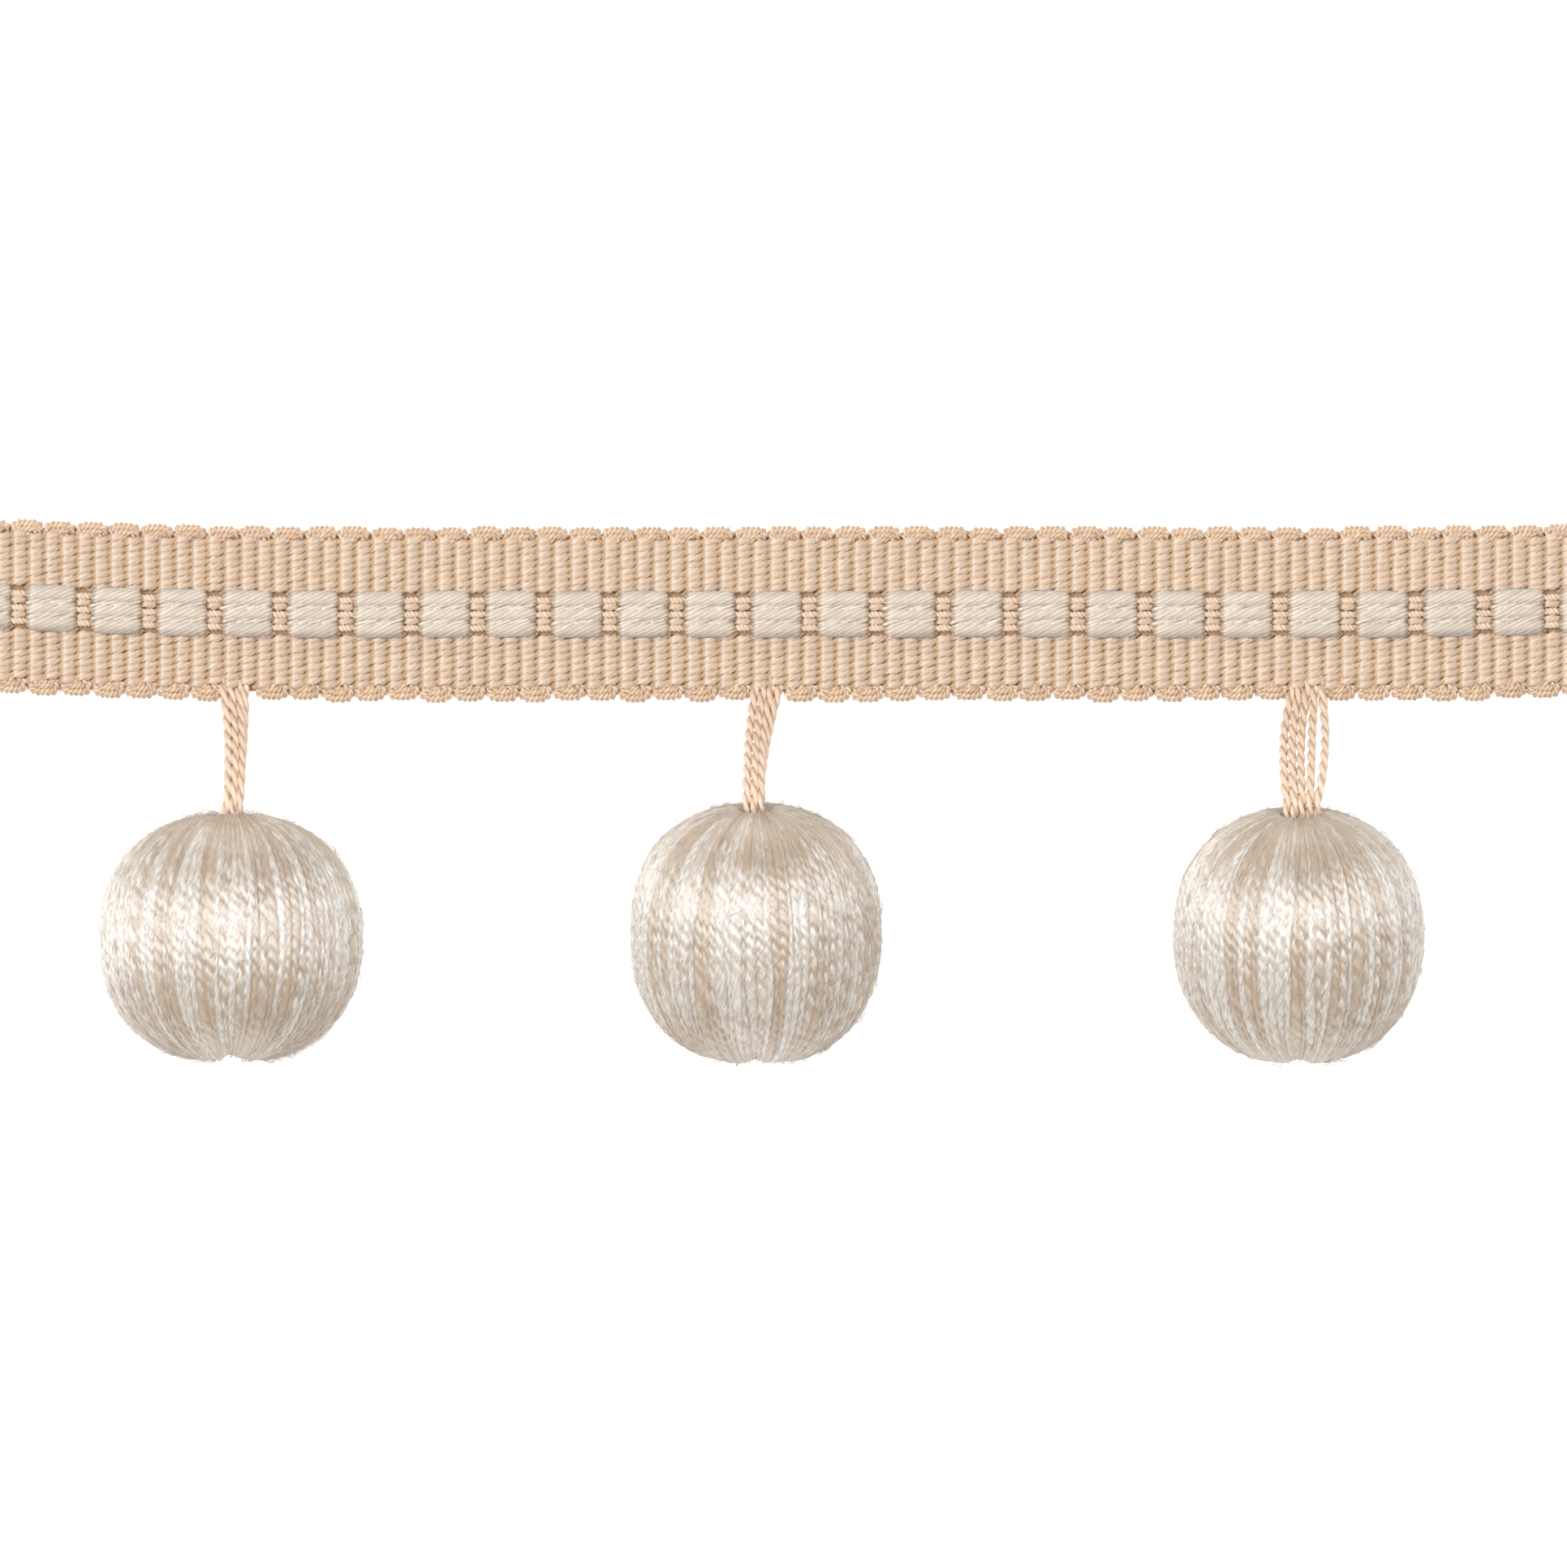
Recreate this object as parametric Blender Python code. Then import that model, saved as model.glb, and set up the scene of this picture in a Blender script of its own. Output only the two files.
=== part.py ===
"""Pompom fringe trim: a ribbed woven heading with three yarn balls hung from its lower edge.

Metres, +Z up. The trim lies face up on z = 0, as it is seen in the photograph: +X runs along the
heading and +Y runs from the balls to the heading. Lengths below are millimetres unless a name says more.
"""

import math
import random
from collections import namedtuple

import bmesh
import bpy
from mathutils import Matrix, Vector

MM = 0.001

# The heading lies this far above the part's middle, so that the origin is the middle of the whole trim.
HEADING_Y = 20.07

# Ribs run across the heading. Their pitch grows a little from left to right.
RIB_PITCH = 1.909
RIB_PITCH_GROWTH = 0.000494
RIB_ZERO_X = -1.21
RIBS_EACH_SIDE = 49
RIBS_PER_SQUARE = 4
FLOAT_HALF_RIBS = 1.5
CROWN_HALF_RIBS = 0.24

# The centreline bends up at both ends, more at the left one.
LEFT_BEND_START_X = -50.0
LEFT_BEND = 0.000587
RIGHT_BEND_START_X = 60.0
RIGHT_BEND = 0.00045

# Edge loops of the heading: one to every two ribs, low along the top and full along the bottom.
LOOP_RIBS = 2.0
TOP_EDGE_Y = 9.35
TOP_LOOP_REACH = 0.7
TOP_LOOP_SHIFT = 0.5
BOTTOM_EDGE_Y = -8.6
BOTTOM_LOOP_REACH = 1.45
BOTTOM_LOOP_SHIFT = -0.5
LOOP_UNEVENNESS = 0.14
RIM_HEIGHT = 0.75
LOOP_HEIGHT = 0.4
RIM_UNDERCUT = 0.2

# Heights of the cloth over the surface that it lies on.
RIB_CROWN = 1.5
RIB_VALLEY = 1.1
FLOAT_CROWN = 1.9
FLOAT_VALLEY = 1.6
BIND_LOW = 1.15
GROOVE_HEIGHT = 0.85

# Lines along the heading, from its top edge to its bottom edge, as distances from the centreline.
# kind: rim and groove belong to the edges, border is plain rib, yarn and dip are the cream floats.
Line = namedtuple("Line", "kind y")
LINES = (
    Line("top_rim", None),
    Line("groove", 9.15),
    Line("border", 8.75),
    Line("border", 2.85),
    Line("yarn", 1.88),
    Line("dip", 1.06),
    Line("yarn", 0.235),
    Line("dip", -0.59),
    Line("yarn", -1.41),
    Line("border", -2.4),
    Line("border", -7.95),
    Line("groove", -8.3),
    Line("bottom_rim", None),
)

# Wound balls. y is from the heading's centreline, tilt lifts the top pole, fullness squares the outline,
# and hollow is the radius of the dip in the top pole.
Ball = namedtuple("Ball", "x y radius half_height tilt_deg fullness turn_deg hollow")
BALLS = (
    Ball(-63.05, -36.98, 15.1, 14.4, 0.0, 2.25, 3.0, 2.2),
    Ball(-3.15, -36.42, 14.4, 14.85, 11.0, 2.33, 17.0, 2.6),
    Ball(58.8, -36.65, 14.4, 14.7, 12.0, 2.2, 29.0, 3.0),
)
BALL_SEGMENTS = 48
BALL_RINGS = 18
BUNDLE_RELIEF = 0.13
FLAT_SPOT_DEPTH = 0.25
TOP_HOLLOW_DEPTH = 3.6
POLE_CROWDING = 0.36
BOTTOM_HOLLOW_DEPTH = 1.3
BOTTOM_HOLLOW_RADIUS = 3.2

# Hangers: cord loops with two legs. Offsets are from the loop's middle line at the heading and at the ball.
HEADING_GAP = 0.42
TURN_GAP = 0.65
CORD_WIDTH = 1.55
CORD_DEPTH = 1.0
CORD_SIDES = 8
CORD_REST_Z = 0.95
LEG_STEPS = 9
TURN_STEPS = 6
TURN_BOW = 0.45
HANGER_RIBS = (-32.5, -0.5, 31.5)

# One row for each leg: sideways bow at mid length, how late it rises, sideways place and height at the
# ball, and the cord's scale there. A leg that rises late passes behind the other one.
Leg = namedtuple("Leg", "bow late ball_x ball_z ball_scale")
LEGS = (
    (Leg(0.15, 0.0, -0.80, 0.0, 0.82), Leg(0.15, 0.0, 0.80, 0.0, 0.82)),
    (Leg(-0.3, 0.0, -0.72, 0.70, 0.95), Leg(-0.55, 0.35, 0.42, -0.80, 0.95)),
    (Leg(-0.75, 0.0, -1.20, 0.0, 1.1), Leg(1.55, 0.0, 1.20, 0.0, 1.1)),
)
HANGER_END_X = (-0.15, -0.1, 0.35)
HANGER_DIVE = 2.3

# Colours, linear: beige warp and cord, and the mix of cream and beige yarn on the balls.
BEIGE = (0.730, 0.510, 0.325, 1.0)
CORD_BEIGE = (0.760, 0.550, 0.380, 1.0)
YARN_MIX = (0.760, 0.680, 0.580, 1.0)


def clear_scene():
    for old in list(bpy.data.objects):
        bpy.data.objects.remove(old, do_unlink=True)


def make_material(name, colour, roughness):
    material = bpy.data.materials.new(name)
    material.use_nodes = True
    shader = material.node_tree.nodes["Principled BSDF"]
    shader.inputs["Base Color"].default_value = colour
    shader.inputs["Roughness"].default_value = roughness
    shader.inputs["Metallic"].default_value = 0.0
    material.diffuse_color = colour
    return material


def add_object(name, mesh, collection, material):
    mesh.materials.clear()
    mesh.materials.append(material)
    obj = bpy.data.objects.new(name, mesh)
    collection.objects.link(obj)
    return obj


def rib_x(rib):
    """X of a place counted in ribs from the middle of the heading."""
    return RIB_ZERO_X + RIB_PITCH * rib + RIB_PITCH_GROWTH * rib * rib


def centreline_y(x):
    """Y of the heading's centreline, which bends up towards both cut ends."""
    lift = LEFT_BEND * min(0.0, x - LEFT_BEND_START_X) ** 2
    lift += RIGHT_BEND * max(0.0, x - RIGHT_BEND_START_X) ** 2
    return HEADING_Y + lift


def loop_swell(rib, shift):
    """0 between two edge loops and 1 at the middle of a loop."""
    return abs(math.cos(math.pi * (rib - shift) / LOOP_RIBS)) ** 0.8


def loop_sizes(seed):
    """A size for each edge loop, a little uneven from loop to loop."""
    chance = random.Random(seed)
    count = 2 * RIBS_EACH_SIDE + 4
    return [1.0 + LOOP_UNEVENNESS * chance.uniform(-1.0, 1.0) for _ in range(count)]


def loop_number(rib, shift):
    return int(round((rib - shift) / LOOP_RIBS)) + RIBS_EACH_SIDE


def at_hanger(rib):
    """True where a hanger leaves the bottom edge instead of an edge loop."""
    return any(abs(rib - place) < LOOP_RIBS / 2 for place in HANGER_RIBS)


def heading_point(line, rib, sizes_top, sizes_bottom):
    """Y from the centreline and height of the cloth, for one line at one place along the heading."""
    place = abs(rib - round(rib))
    crown = place < 0.5 - 0.01
    from_square = abs(rib - RIBS_PER_SQUARE * round(rib / RIBS_PER_SQUARE))
    if line.kind == "top_rim":
        swell = loop_swell(rib, TOP_LOOP_SHIFT)
        swell *= sizes_top[loop_number(rib, TOP_LOOP_SHIFT)]
        return TOP_EDGE_Y + TOP_LOOP_REACH * swell, RIM_HEIGHT + LOOP_HEIGHT * swell
    if line.kind == "bottom_rim":
        swell = loop_swell(rib, BOTTOM_LOOP_SHIFT)
        swell *= sizes_bottom[loop_number(rib, BOTTOM_LOOP_SHIFT)]
        if at_hanger(rib):
            swell = 0.0
        return BOTTOM_EDGE_Y - BOTTOM_LOOP_REACH * swell, RIM_HEIGHT + LOOP_HEIGHT * swell
    if line.kind == "groove":
        return line.y, GROOVE_HEIGHT
    if line.kind == "border":
        return line.y, RIB_CROWN if crown else RIB_VALLEY
    if from_square < FLOAT_HALF_RIBS - 0.01:
        return line.y, FLOAT_CROWN if line.kind == "yarn" else FLOAT_VALLEY
    if not crown:
        return line.y, RIB_VALLEY
    return line.y, BIND_LOW if line.kind == "yarn" else RIB_CROWN


def rib_places():
    """Places of the relief points along the heading: a valley and two crown points for each rib."""
    places = []
    for rib in range(-RIBS_EACH_SIDE, RIBS_EACH_SIDE + 1):
        places += [rib - 0.5, rib - CROWN_HALF_RIBS, rib + CROWN_HALF_RIBS]
    places.append(RIBS_EACH_SIDE + 0.5)
    return places


def build_heading(collection, material):
    """One woven band: a grid raised to the cloth's relief, walled down to a flat underside."""
    places = rib_places()
    sizes_top = loop_sizes(3)
    sizes_bottom = loop_sizes(8)
    bm = bmesh.new()
    bmesh.ops.create_grid(bm, x_segments=len(places) - 1, y_segments=len(LINES) - 1, size=1.0)
    for vert in bm.verts:
        column = int(round((vert.co.x + 1.0) / 2.0 * (len(places) - 1)))
        row = int(round((1.0 - vert.co.y) / 2.0 * (len(LINES) - 1)))
        x = rib_x(places[column])
        y, z = heading_point(LINES[row], places[column], sizes_top, sizes_bottom)
        vert.co = Vector((x, centreline_y(x) + y, z)) * MM
    rim = [edge for edge in bm.edges if edge.is_boundary]
    wall = bmesh.ops.extrude_edge_only(bm, edges=rim)["geom"]
    for vert in [item for item in wall if isinstance(item, bmesh.types.BMVert)]:
        middle = centreline_y(vert.co.x / MM) * MM
        inward = math.copysign(RIM_UNDERCUT * MM, middle - vert.co.y)
        at_rim = abs(vert.co.y - middle) > abs(BOTTOM_EDGE_Y) * MM - RIM_UNDERCUT * MM
        vert.co.y += inward if at_rim else 0.0
        vert.co.z = 0.0
    foot = [edge for edge in bm.edges if edge.is_boundary]
    bmesh.ops.contextual_create(bm, geom=foot)
    bmesh.ops.recalc_face_normals(bm, faces=bm.faces)
    mesh = bpy.data.meshes.new("heading")
    bm.to_mesh(mesh)
    bm.free()
    return add_object("heading", mesh, collection, material)


def ball_frame(ball):
    """Matrix from a ball's own space, with its poles on Z, to the part's space."""
    centre = Vector((ball.x, HEADING_Y + ball.y, ball.radius - FLAT_SPOT_DEPTH))
    poles_to_y = Matrix.Rotation(math.radians(ball.tilt_deg - 90.0), 4, "X")
    return Matrix.Translation(centre) @ poles_to_y


def ball_profile(ball, angle):
    """Radius and height at an angle from the top pole: a full round with a hollow at each pole."""
    power = 2.0 / ball.fullness
    angle -= POLE_CROWDING * math.sin(2.0 * angle)
    radius = ball.radius * abs(math.sin(angle)) ** power
    height = ball.half_height * math.copysign(abs(math.cos(angle)) ** power, math.cos(angle))
    height -= TOP_HOLLOW_DEPTH * math.exp(-((radius / ball.hollow) ** 4)) * (height > 0.0)
    height += BOTTOM_HOLLOW_DEPTH * math.exp(-((radius / BOTTOM_HOLLOW_RADIUS) ** 2)) * (height < 0.0)
    return radius, height


def build_ball(number, ball, collection, material):
    """A wound ball: yarn bundles run from pole to pole as low ridges, and a small flat spot meets the floor."""
    bm = bmesh.new()
    bmesh.ops.create_uvsphere(bm, u_segments=BALL_SEGMENTS, v_segments=BALL_RINGS, radius=1.0)
    chance = random.Random(number)
    ridges = [1.0 + 0.35 * chance.uniform(-1.0, 1.0) for _ in range(BALL_SEGMENTS)]
    frame = ball_frame(ball)
    for vert in bm.verts:
        angle = math.acos(max(-1.0, min(1.0, vert.co.z)))
        around = math.atan2(vert.co.y, vert.co.x)
        segment = int(round(around / (2.0 * math.pi) * BALL_SEGMENTS)) % BALL_SEGMENTS
        radius, height = ball_profile(ball, angle)
        side = 1.0 if segment % 2 else -1.0
        radius += side * ridges[segment] * BUNDLE_RELIEF * math.sin(angle)
        turned = around + math.radians(ball.turn_deg)
        local = Vector((radius * math.cos(turned), radius * math.sin(turned), height))
        vert.co = (frame @ local) * MM
    shell = bm.verts[:] + bm.edges[:] + bm.faces[:]
    bmesh.ops.bisect_plane(
        bm, geom=shell, dist=1e-7, plane_co=(0, 0, 0), plane_no=(0, 0, -1), clear_outer=True
    )
    opened = [edge for edge in bm.edges if edge.is_boundary]
    bmesh.ops.contextual_create(bm, geom=opened)
    bmesh.ops.recalc_face_normals(bm, faces=bm.faces)
    mesh = bpy.data.meshes.new(f"ball_{number}")
    bm.to_mesh(mesh)
    bm.free()
    obj = add_object(f"ball_{number}", mesh, collection, material)
    mesh.shade_smooth()
    mesh.set_sharp_from_angle(angle=math.radians(50.0))
    return obj


def ease(along):
    """Smooth step from 0 to 1."""
    return along * along * (3.0 - 2.0 * along)


def leg_points(leg, start, mouth, dive):
    """Centre points of one leg, from the heading's edge to the depth of the turn inside the ball."""
    points = []
    for step in range(LEG_STEPS + 1):
        along = step / LEG_STEPS
        x = start.x + (mouth.x - start.x) * ease(along) + leg.bow * math.sin(math.pi * along)
        y = start.y + (mouth.y - start.y) * along
        z = start.z + (mouth.z - start.z) * ease(along ** (1.0 + leg.late))
        points.append((Vector((x, y, z)), 1.0 + (leg.ball_scale - 1.0) * along))
    points.append((mouth + dive * 0.5, leg.ball_scale))
    return points


def hanger_route(number):
    """Centre points and cord scale of one loop: down the left leg, round the turn and up the right leg."""
    ball = BALLS[number - 1]
    frame = ball_frame(ball)
    rib = HANGER_RIBS[number - 1]
    dive = frame.to_3x3() @ Vector((0.0, 0.0, -HANGER_DIVE))
    # The turn stays a little above the floor of the ball's top hollow.
    turn_height = ball.half_height - TOP_HOLLOW_DEPTH + TURN_GAP + CORD_WIDTH * 0.5 + TURN_BOW
    legs = []
    for side, leg in zip((-0.5, 0.5), LEGS[number - 1]):
        x = rib_x(rib + side)
        edge = centreline_y(x) + BOTTOM_EDGE_Y - HEADING_GAP
        start = Vector((x, edge, CORD_REST_Z))
        local = Vector((leg.ball_x + HANGER_END_X[number - 1], -leg.ball_z, turn_height + HANGER_DIVE))
        legs.append((leg, start, frame @ local))
    left = leg_points(*legs[0], dive)
    right = leg_points(*legs[1], dive)
    bottom_left = legs[0][2] + dive
    bottom_right = legs[1][2] + dive
    turn = []
    half = (bottom_right - bottom_left) * 0.5
    middle = (bottom_right + bottom_left) * 0.5
    down = dive.normalized() * TURN_BOW
    for step in range(TURN_STEPS + 1):
        angle = math.pi * step / TURN_STEPS
        turn.append((middle - half * math.cos(angle) + down * math.sin(angle), LEGS[number - 1][0].ball_scale))
    return left + turn + right[::-1]


def cord_section(collection):
    """Closed outline of the cord: two yarns side by side, so it is wider than deep and dips in its middle."""
    curve = bpy.data.curves.new("cord_section", "CURVE")
    curve.dimensions = "2D"
    spline = curve.splines.new("POLY")
    spline.points.add(CORD_SIDES - 1)
    for side in range(CORD_SIDES):
        angle = -2.0 * math.pi * (side + 0.5) / CORD_SIDES
        across = 0.5 * CORD_WIDTH * math.cos(angle)
        deep = 0.5 * CORD_DEPTH * math.sin(angle) * (0.8 + 0.35 * abs(math.cos(angle)))
        spline.points[side].co = (across * MM, deep * MM, 0.0, 1.0)
    spline.use_cyclic_u = True
    section = bpy.data.objects.new("cord_section", curve)
    section.hide_render = True
    section.display_type = "WIRE"
    collection.objects.link(section)
    return section


def build_hanger(number, section, collection, material):
    """One cord loop, swept along its route with the two-yarn section."""
    curve = bpy.data.curves.new(f"hanger_{number}", "CURVE")
    curve.dimensions = "3D"
    curve.twist_mode = "Z_UP"
    curve.bevel_mode = "OBJECT"
    curve.bevel_object = section
    curve.use_fill_caps = True
    route = hanger_route(number)
    spline = curve.splines.new("POLY")
    spline.points.add(len(route) - 1)
    for point, (place, scale) in zip(spline.points, route):
        point.co = (place.x * MM, place.y * MM, place.z * MM, 1.0)
        point.radius = scale
    curve.materials.append(material)
    obj = bpy.data.objects.new(f"hanger_{number}", curve)
    collection.objects.link(obj)
    return obj


def main():
    clear_scene()
    parts = bpy.data.collections.new("pompom_fringe_trim")
    guides = bpy.data.collections.new("guides")
    bpy.context.scene.collection.children.link(parts)
    bpy.context.scene.collection.children.link(guides)
    build_heading(parts, make_material("heading_beige", BEIGE, 0.75))
    yarn = make_material("ball_yarn", YARN_MIX, 0.8)
    for number, ball in enumerate(BALLS, start=1):
        build_ball(number, ball, parts, yarn)
    cord = make_material("cord_beige", CORD_BEIGE, 0.7)
    section = cord_section(guides)
    for number in range(1, len(HANGER_RIBS) + 1):
        build_hanger(number, section, parts, cord)


main()
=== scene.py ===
import math
import random

import bpy
import numpy as np
from mathutils import Matrix, Vector


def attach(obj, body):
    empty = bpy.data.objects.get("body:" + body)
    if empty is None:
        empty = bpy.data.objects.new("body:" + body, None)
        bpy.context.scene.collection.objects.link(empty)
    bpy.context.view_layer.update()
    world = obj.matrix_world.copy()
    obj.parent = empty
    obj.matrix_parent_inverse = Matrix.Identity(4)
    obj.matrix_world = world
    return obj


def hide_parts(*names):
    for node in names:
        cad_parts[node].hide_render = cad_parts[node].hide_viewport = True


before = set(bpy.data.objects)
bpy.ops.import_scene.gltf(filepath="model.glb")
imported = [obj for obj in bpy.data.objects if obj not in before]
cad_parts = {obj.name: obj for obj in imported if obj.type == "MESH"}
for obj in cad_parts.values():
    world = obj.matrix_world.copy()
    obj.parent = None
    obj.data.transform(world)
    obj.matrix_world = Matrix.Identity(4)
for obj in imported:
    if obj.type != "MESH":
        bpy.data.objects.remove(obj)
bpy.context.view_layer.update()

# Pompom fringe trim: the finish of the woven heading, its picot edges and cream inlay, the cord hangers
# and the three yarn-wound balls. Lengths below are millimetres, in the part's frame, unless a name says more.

MM = 0.001

# Heading: ribs run across it and are counted from its middle, and its centreline bends up at both cut ends.
# Edge loops stand one to every two ribs. The ribs lie 0.38 mm further to +X than in the solid.
HEADING_Y = 20.07
RIB_PITCH = 1.909
RIB_PITCH_GROWTH = 0.000494
RIB_ZERO_X = -0.83
RIBS_EACH_SIDE = 49
RIBS_PER_SQUARE = 4
FLOAT_HALF_RIBS = 1.5
LEFT_BEND_START_X = -50.0
LEFT_BEND = 0.000587
RIGHT_BEND_START_X = 60.0
RIGHT_BEND = 0.00045
LOOP_RIBS = 2
TOP_EDGE_Y = 9.35
TOP_LOOP_REACH = 0.85
TOP_LOOP_INSIDE = 8.78
BOTTOM_EDGE_Y = -8.6
BOTTOM_LOOP_REACH = 1.35
BOTTOM_LOOP_INSIDE = -8.25
LOOP_UNEVENNESS = 0.14
# The three strands of an edge loop: how far each lies inside the loop's outline, its radius, its height
# and its steps.
LOOP_YARNS = ((0.0, 0.60, 0.72, 40), (0.62, 0.58, 0.90, 24), (1.15, 0.50, 0.78, 10))
LOOP_SPREAD = 0.50
LOOP_TWIST_LENGTH = 1.6

# Warp: threads that cross over even ribs and under odd ones, and their neighbours that do the opposite.
# Rows are distances from the centreline.
WARP_PITCH_TOP = 0.77
WARP_PITCH_BOTTOM = 0.79
EVEN_ROWS = [3.085 + WARP_PITCH_TOP * i for i in range(8)]
EVEN_ROWS += [-2.815 - WARP_PITCH_BOTTOM * i for i in range(7)]
ODD_ROWS = [2.70 + WARP_PITCH_TOP * i for i in range(8)]
ODD_ROWS += [-2.42 - WARP_PITCH_BOTTOM * i for i in range(8)]
WARP_HALF_WIDTH = 0.58
WARP_HALF_HEIGHT = 0.28
WARP_SLANT = 0.2
WARP_MIDDLE_Z = 0.84
WARP_SWING = 0.44
WARP_PLIES = 4
WARP_TWIST_LENGTH = 4.4

# The weft bed under the warp: its rows from the centreline, and the heights of its two faces.
GROUND_ROWS = (9.15, 6.0, 3.0, 0.0, -3.0, -6.0, -8.75)
GROUND_TOP_Z = 0.62
GROUND_UNDER_Z = 0.12

# Rows that show only on the rib between two cream squares: fine twisted binders and two plain warp rows.
BINDER_ROWS = (1.67, 0.05, -1.49)
BINDER_PLAIN_ROWS = (0.93, -0.74)
BINDER_HALF_WIDTH = 0.45
BINDER_PLAIN_HALF_WIDTH = 0.56
BINDER_PLY_LENGTH = 0.92
BINDER_TOP = 1.5
BINDER_HALF_RIBS = 0.72

# Cream inlay yarns: distance from the centreline and half width.
INLAY_YARNS = ((1.72, 1.12), (0.06, 1.18), (-1.56, 1.12))
INLAY_TOP = 1.92
INLAY_HALF_HEIGHT = 0.46
INLAY_DIVE_Z = 0.40
INLAY_STRANDS = 11
INLAY_TWIST_LENGTH = 10.0
INLAY_SEAMS = (0.9, -0.75)
STRAY_STRANDS = 4
STRAY_HALF_WIDTH = 0.20

# Balls, placed and shaped as in the solids.
BALLS = (
    {
        "x": -63.05, "y": -36.98, "radius": 15.1, "half_height": 14.4,
        "tilt": 0.0, "fullness": 2.25, "hollow": 2.2,
    },
    {
        "x": -3.15, "y": -36.42, "radius": 14.4, "half_height": 14.85,
        "tilt": 11.0, "fullness": 2.33, "hollow": 2.6,
    },
    {
        "x": 58.8, "y": -36.65, "radius": 14.4, "half_height": 14.7,
        "tilt": 12.0, "fullness": 2.2, "hollow": 3.0,
    },
)
FLAT_SPOT_DEPTH = 0.25
TOP_HOLLOW_DEPTH = 3.6
# The yarns close round the cord, so the dip that shows is narrower and shallower than the solid's.
TOP_DIP_DEPTH = 2.0
TOP_DIP_SHARE = 0.6
BOTTOM_CLEFT_DEPTH = 0.5
BOTTOM_CLEFT_HALF_WIDTH = 0.9
POLE_CROWDING = 0.36
BOTTOM_HOLLOW_DEPTH = 1.3
BOTTOM_HOLLOW_RADIUS = 3.2

# Yarns of each ball over its visible half, from its left rim to its right: w white, b beige, m between.
WINDINGS = (
    "wwwwmwwmwwwmbwwbmbwwwbbwmwmwbmbwbbmwbmwmwwwmbmbwww",
    "wwwwwwwwbmwbwwwwbbmwwwmwmwbbwwwmbmmwmmwmbmbbmwww",
    "wwwwwmwwwmwwwwbbwmbwwwwbbwmwbmwbmwmbmwwbmwwmwwww",
)
TONES = {"w": 0.0, "m": 0.5, "b": 1.0}
BALL_ROWS = 156
FRONT_COLUMNS = 6
BACK_COLUMNS = 2
BALL_PLY_LENGTH = 2.9
# Relief below this, in yarn widths, lies in the grooves and gets painted shade.
SHADED_GROOVE_RELIEF = 0.25
FUZZ_FIBRES = 1300

HANGER_RIBS = (-32.7, -0.7, 31.3)
HANGER_DIVE = 2.3
TURN_GAP = 0.65
CORD_WIDTH = 1.55
TURN_BOW = 0.45
TURN_RISE = TURN_GAP + CORD_WIDTH / 2.0 + TURN_BOW
CORD_REST_Z = 0.95

# The hangers' yarns follow the photo. One row for each yarn: its x at the heading, at mid length and at the
# ball, and how far it is lifted at mid length and at the ball.
HANGER_YARNS = (
    (
        (-64.14, -63.50, -63.62, 0.0, 0.0),
        (-63.34, -62.72, -62.85, 0.1, 0.1),
        (-62.45, -61.92, -62.12, 0.0, 0.0),
        (-61.73, -61.80, -62.40, -0.6, -0.8),
    ),
    (
        (-3.24, -4.02, -4.20, 0.0, 0.1),
        (-2.33, -3.14, -3.32, 0.1, 0.2),
        (-1.42, -2.42, -2.56, -0.1, 0.0),
        (-0.56, -2.00, -2.85, -0.5, -0.9),
    ),
    (
        (58.25, 57.10, 57.42, 0.0, 0.0),
        (59.05, 58.08, 58.30, 0.1, 0.1),
        (59.90, 59.10, 59.15, 0.0, 0.0),
        (60.75, 60.35, 60.02, 0.1, 0.1),
        (61.62, 61.88, 60.85, -0.1, -0.1),
    ),
)
HANGER_YARN_RADIUS = 0.56
HANGER_PLY_LENGTH = 5.0


def rib_x(rib):
    return RIB_ZERO_X + RIB_PITCH * rib + RIB_PITCH_GROWTH * rib * rib


def centreline_y(x):
    lift = LEFT_BEND * np.minimum(0.0, x - LEFT_BEND_START_X) ** 2
    lift = lift + RIGHT_BEND * np.maximum(0.0, x - RIGHT_BEND_START_X) ** 2
    return HEADING_Y + lift


def unit(vectors):
    return vectors / np.maximum(np.linalg.norm(vectors, axis=-1, keepdims=True), 1e-9)


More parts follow.
